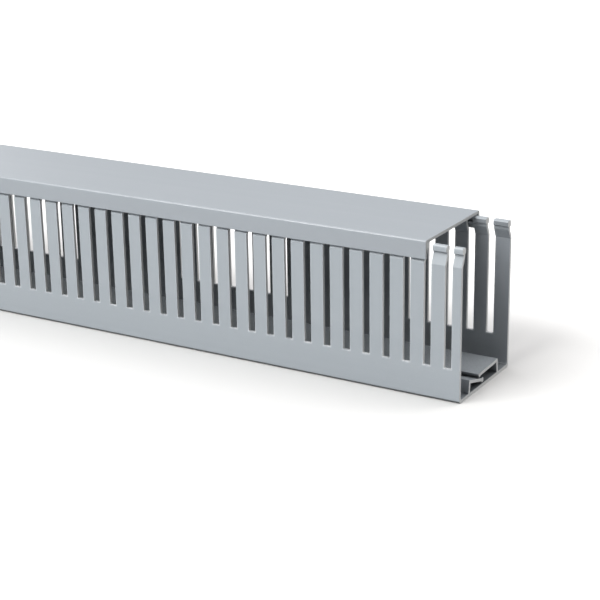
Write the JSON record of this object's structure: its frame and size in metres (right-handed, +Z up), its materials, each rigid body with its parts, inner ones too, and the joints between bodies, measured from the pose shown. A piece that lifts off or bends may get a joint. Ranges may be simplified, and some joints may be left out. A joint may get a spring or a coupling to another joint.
{
  "type": "slotted wire duct",
  "caption": "Grey plastic wiring duct with slotted finger walls, interlocking floor ribs and a clip-on cover that slides along the finger tips.",
  "frame": {"origin": "middle of the underside of the duct base", "axes": "+X along the duct to the end where the cover is set back, +Y to the back wall, +Z up out of the open side"},
  "size_m": [1.0204, 0.0678, 0.0904],
  "materials": {
    "grey_plastic": "satin, extruded rigid plastic"
  },
  "bodies": {
    "base": {"duct_base": "grey_plastic"},
    "cover": {"duct_cover": "grey_plastic"}
  },
  "joints": [
    {"name": "cover_slide", "type": "slide", "parent": "base", "child": "cover", "axis": [1, 0, 0], "range_m": [-0.96, 1]}
  ]
}
